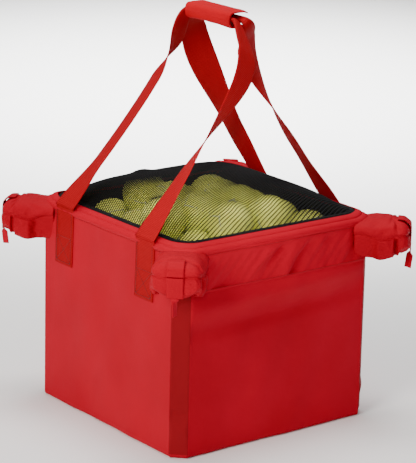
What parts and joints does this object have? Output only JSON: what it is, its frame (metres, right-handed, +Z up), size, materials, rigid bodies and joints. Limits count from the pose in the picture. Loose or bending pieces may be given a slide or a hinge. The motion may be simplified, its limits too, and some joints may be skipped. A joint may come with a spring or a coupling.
{
  "type": "ball bag of a teaching cart",
  "caption": "Square fabric ball bag for a tennis teaching cart, with a zipped net lid, two webbing handles joined by a padded wrap, corner sleeves and a heap of tennis balls.",
  "frame": {"origin": "middle of the bag's bottom, on the surface it stands on", "axes": "+Z up; -Y is the front, the face on the right in the picture; the handles are sewn to the -X and +X faces; the lid is hinged on the +Y side"},
  "size_m": [0.4666, 0.4666, 0.6055],
  "materials": {
    "red_polyester": "coated woven polyester, satin",
    "red_polyester_shaded": "coated woven polyester, satin",
    "red_webbing": "flat woven polypropylene webbing, matt",
    "red_padded_wrap": "padded woven polyester, satin",
    "black_net": "knitted polyester net, matt",
    "black_tape": "woven zip tape, matt",
    "black_zip_coil": "nylon zip coil",
    "painted_zinc": "painted zinc casting",
    "grey_board": "plain stiff plastic board",
    "tennis_felt": "napped wool and nylon felt"
  },
  "bodies": {
    "root": {"panel_front": "red_polyester_shaded", "panel_right": "red_polyester_shaded", "panel_back": "red_polyester_shaded", "panel_left": "red_polyester", "collar_front": "red_polyester_shaded", "collar_back": "red_polyester_shaded", "corner_band_front_left": "red_polyester_shaded", "corner_band_front_right": "red_polyester_shaded", "corner_band_back_right": "red_polyester_shaded", "corner_band_back_left": "red_polyester_shaded", "panel_bottom": "red_polyester_shaded", "base_board": "grey_board", "rim_shoulder": "red_polyester", "rim_piping": "red_polyester", "zip_tape": "black_tape", "zip_coil_rim": "black_zip_coil", "lid_hinge_strip": "black_tape", "sewn_webbing_left_back": "red_webbing", "sewn_webbing_left_front": "red_webbing", "sewn_webbing_right_back": "red_webbing", "sewn_webbing_right_front": "red_webbing", "sleeve_front_left": "red_polyester", "strap_root_front_left": "red_webbing", "sleeve_front_right": "red_polyester", "strap_root_front_right": "red_webbing", "sleeve_back_right": "red_polyester", "strap_root_back_right": "red_webbing", "sleeve_back_left": "red_polyester", "strap_root_back_left": "red_webbing", "ball_pile": "tennis_felt", "ball_1": "tennis_felt", "ball_2": "tennis_felt", "ball_3": "tennis_felt", "ball_4": "tennis_felt", "ball_5": "tennis_felt", "ball_6": "tennis_felt", "ball_7": "tennis_felt", "ball_8": "tennis_felt"},
    "lid": {"lid_net": "black_net", "lid_border": "black_tape", "zip_coil_lid": "black_zip_coil", "lid_hinge_tape": "black_tape"},
    "handle_left": {"handle_left": "red_webbing", "grip_wrap": "red_padded_wrap"},
    "grip_flap": {"grip_flap": "red_padded_wrap"},
    "handle_right": {"handle_right": "red_webbing"},
    "zip_slider": {"zip_slider": "painted_zinc"},
    "zip_pull": {"zip_pull": "painted_zinc"},
    "closure_front_left": {"closure_strap_front_left": "red_webbing", "pull_tab_front_left": "red_webbing"},
    "closure_front_right": {"closure_strap_front_right": "red_webbing", "pull_tab_front_right": "red_webbing"},
    "closure_back_right": {"closure_strap_back_right": "red_webbing", "pull_tab_back_right": "red_webbing"},
    "closure_back_left": {"closure_strap_back_left": "red_webbing", "pull_tab_back_left": "red_webbing"}
  },
  "joints": [
    {"name": "lid_hinge", "type": "hinge", "parent": "root", "child": "lid", "pos_m": [0, 0.16, 0.3141], "axis": [-1, 0, 0], "range_deg": [0, 120]},
    {"name": "handle_left_swing", "type": "hinge", "parent": "root", "child": "handle_left", "pos_m": [-0.1805, 0, 0.3078], "axis": [0, -1, 0], "range_deg": [0, 180]},
    {"name": "handle_right_swing", "type": "hinge", "parent": "root", "child": "handle_right", "pos_m": [0.1805, 0, 0.3078], "axis": [0, 1, 0], "range_deg": [0, 180]},
    {"name": "grip_flap_hinge", "type": "hinge", "parent": "handle_left", "child": "grip_flap", "pos_m": [0.0063, 0, 0.6055], "axis": [0, -1, 0], "range_deg": [0, 165]},
    {"name": "zip_travel", "type": "slide", "parent": "root", "child": "zip_slider", "axis": [0, -1, 0], "range_m": [0, 0.231]},
    {"name": "zip_pull_hinge", "type": "hinge", "parent": "zip_slider", "child": "zip_pull", "pos_m": [0.1667, 0.1262, 0.3159], "axis": [0, -1, 0], "range_deg": [0, 115]},
    {"name": "closure_front_left_hinge", "type": "hinge", "parent": "root", "child": "closure_front_left", "pos_m": [-0.21626, -0.21626, 0.2877], "axis": [-0.7071, 0.7071, 0], "range_deg": [0, 150]},
    {"name": "closure_front_right_hinge", "type": "hinge", "parent": "root", "child": "closure_front_right", "pos_m": [0.21626, -0.21626, 0.2877], "axis": [-0.7071, -0.7071, 0], "range_deg": [0, 150]},
    {"name": "closure_back_right_hinge", "type": "hinge", "parent": "root", "child": "closure_back_right", "pos_m": [0.21626, 0.21626, 0.2877], "axis": [0.7071, -0.7071, 0], "range_deg": [0, 150]},
    {"name": "closure_back_left_hinge", "type": "hinge", "parent": "root", "child": "closure_back_left", "pos_m": [-0.21626, 0.21626, 0.2877], "axis": [0.7071, 0.7071, 0], "range_deg": [0, 150]}
  ],
  "couplings": [
    {"joint": "handle_left_swing", "follows": "lid_hinge", "ratio": 1.5},
    {"joint": "handle_right_swing", "follows": "lid_hinge", "ratio": 1.5}
  ]
}
